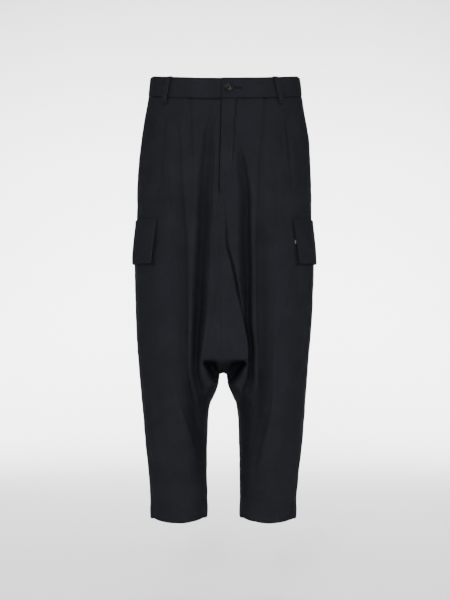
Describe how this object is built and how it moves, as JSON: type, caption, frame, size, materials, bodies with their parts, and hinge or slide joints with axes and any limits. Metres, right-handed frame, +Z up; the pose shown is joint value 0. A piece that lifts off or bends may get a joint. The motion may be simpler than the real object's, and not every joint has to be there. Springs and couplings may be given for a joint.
{
  "type": "cargo pants",
  "caption": "Cropped black cargo trousers with a very low dropped crotch, tapered legs, a buttoned waistband with belt loops and a flapped pocket on each thigh.",
  "frame": {"origin": "the middle of the waist opening, half way up the waistband at the side seams, where the wearer's waist holds the trousers up", "axes": "+Z up through the waist opening, +Y towards the garment's back, +X towards the wearer's left"},
  "size_m": [0.3864, 0.2643, 0.9436],
  "materials": {
    "front_right": "matt black cotton twill, softened by wear",
    "front_left": "matt black cotton twill, softened by wear",
    "back_right": "matt black cotton twill, softened by wear",
    "back_left": "matt black cotton twill, softened by wear",
    "waistband_right": "matt black cotton twill, softened by wear",
    "waistband_left": "matt black cotton twill, softened by wear",
    "fly_shield": "matt black cotton twill, softened by wear",
    "belt_loop_1": "matt black cotton twill, softened by wear",
    "belt_loop_2": "matt black cotton twill, softened by wear",
    "belt_loop_3": "matt black cotton twill, softened by wear",
    "belt_loop_4": "matt black cotton twill, softened by wear",
    "belt_loop_5": "matt black cotton twill, softened by wear",
    "button": "satin black plastic, slightly worn",
    "flap_right": "matt black cotton twill, softened by wear",
    "flap_left": "matt black cotton twill, softened by wear",
    "flap_tab": "plain woven tab, left blank"
  },
  "bodies": {
    "root": {"front_right": "front_right", "front_left": "front_left", "back_right": "back_right", "back_left": "back_left", "waistband_right": "waistband_right", "waistband_left": "waistband_left", "fly_shield": "fly_shield", "belt_loop_1": "belt_loop_1", "belt_loop_2": "belt_loop_2", "belt_loop_3": "belt_loop_3", "belt_loop_4": "belt_loop_4", "belt_loop_5": "belt_loop_5", "button": "button", "flap_right": "flap_right", "flap_left": "flap_left", "flap_tab": "flap_tab"}
  },
  "joints": []
}
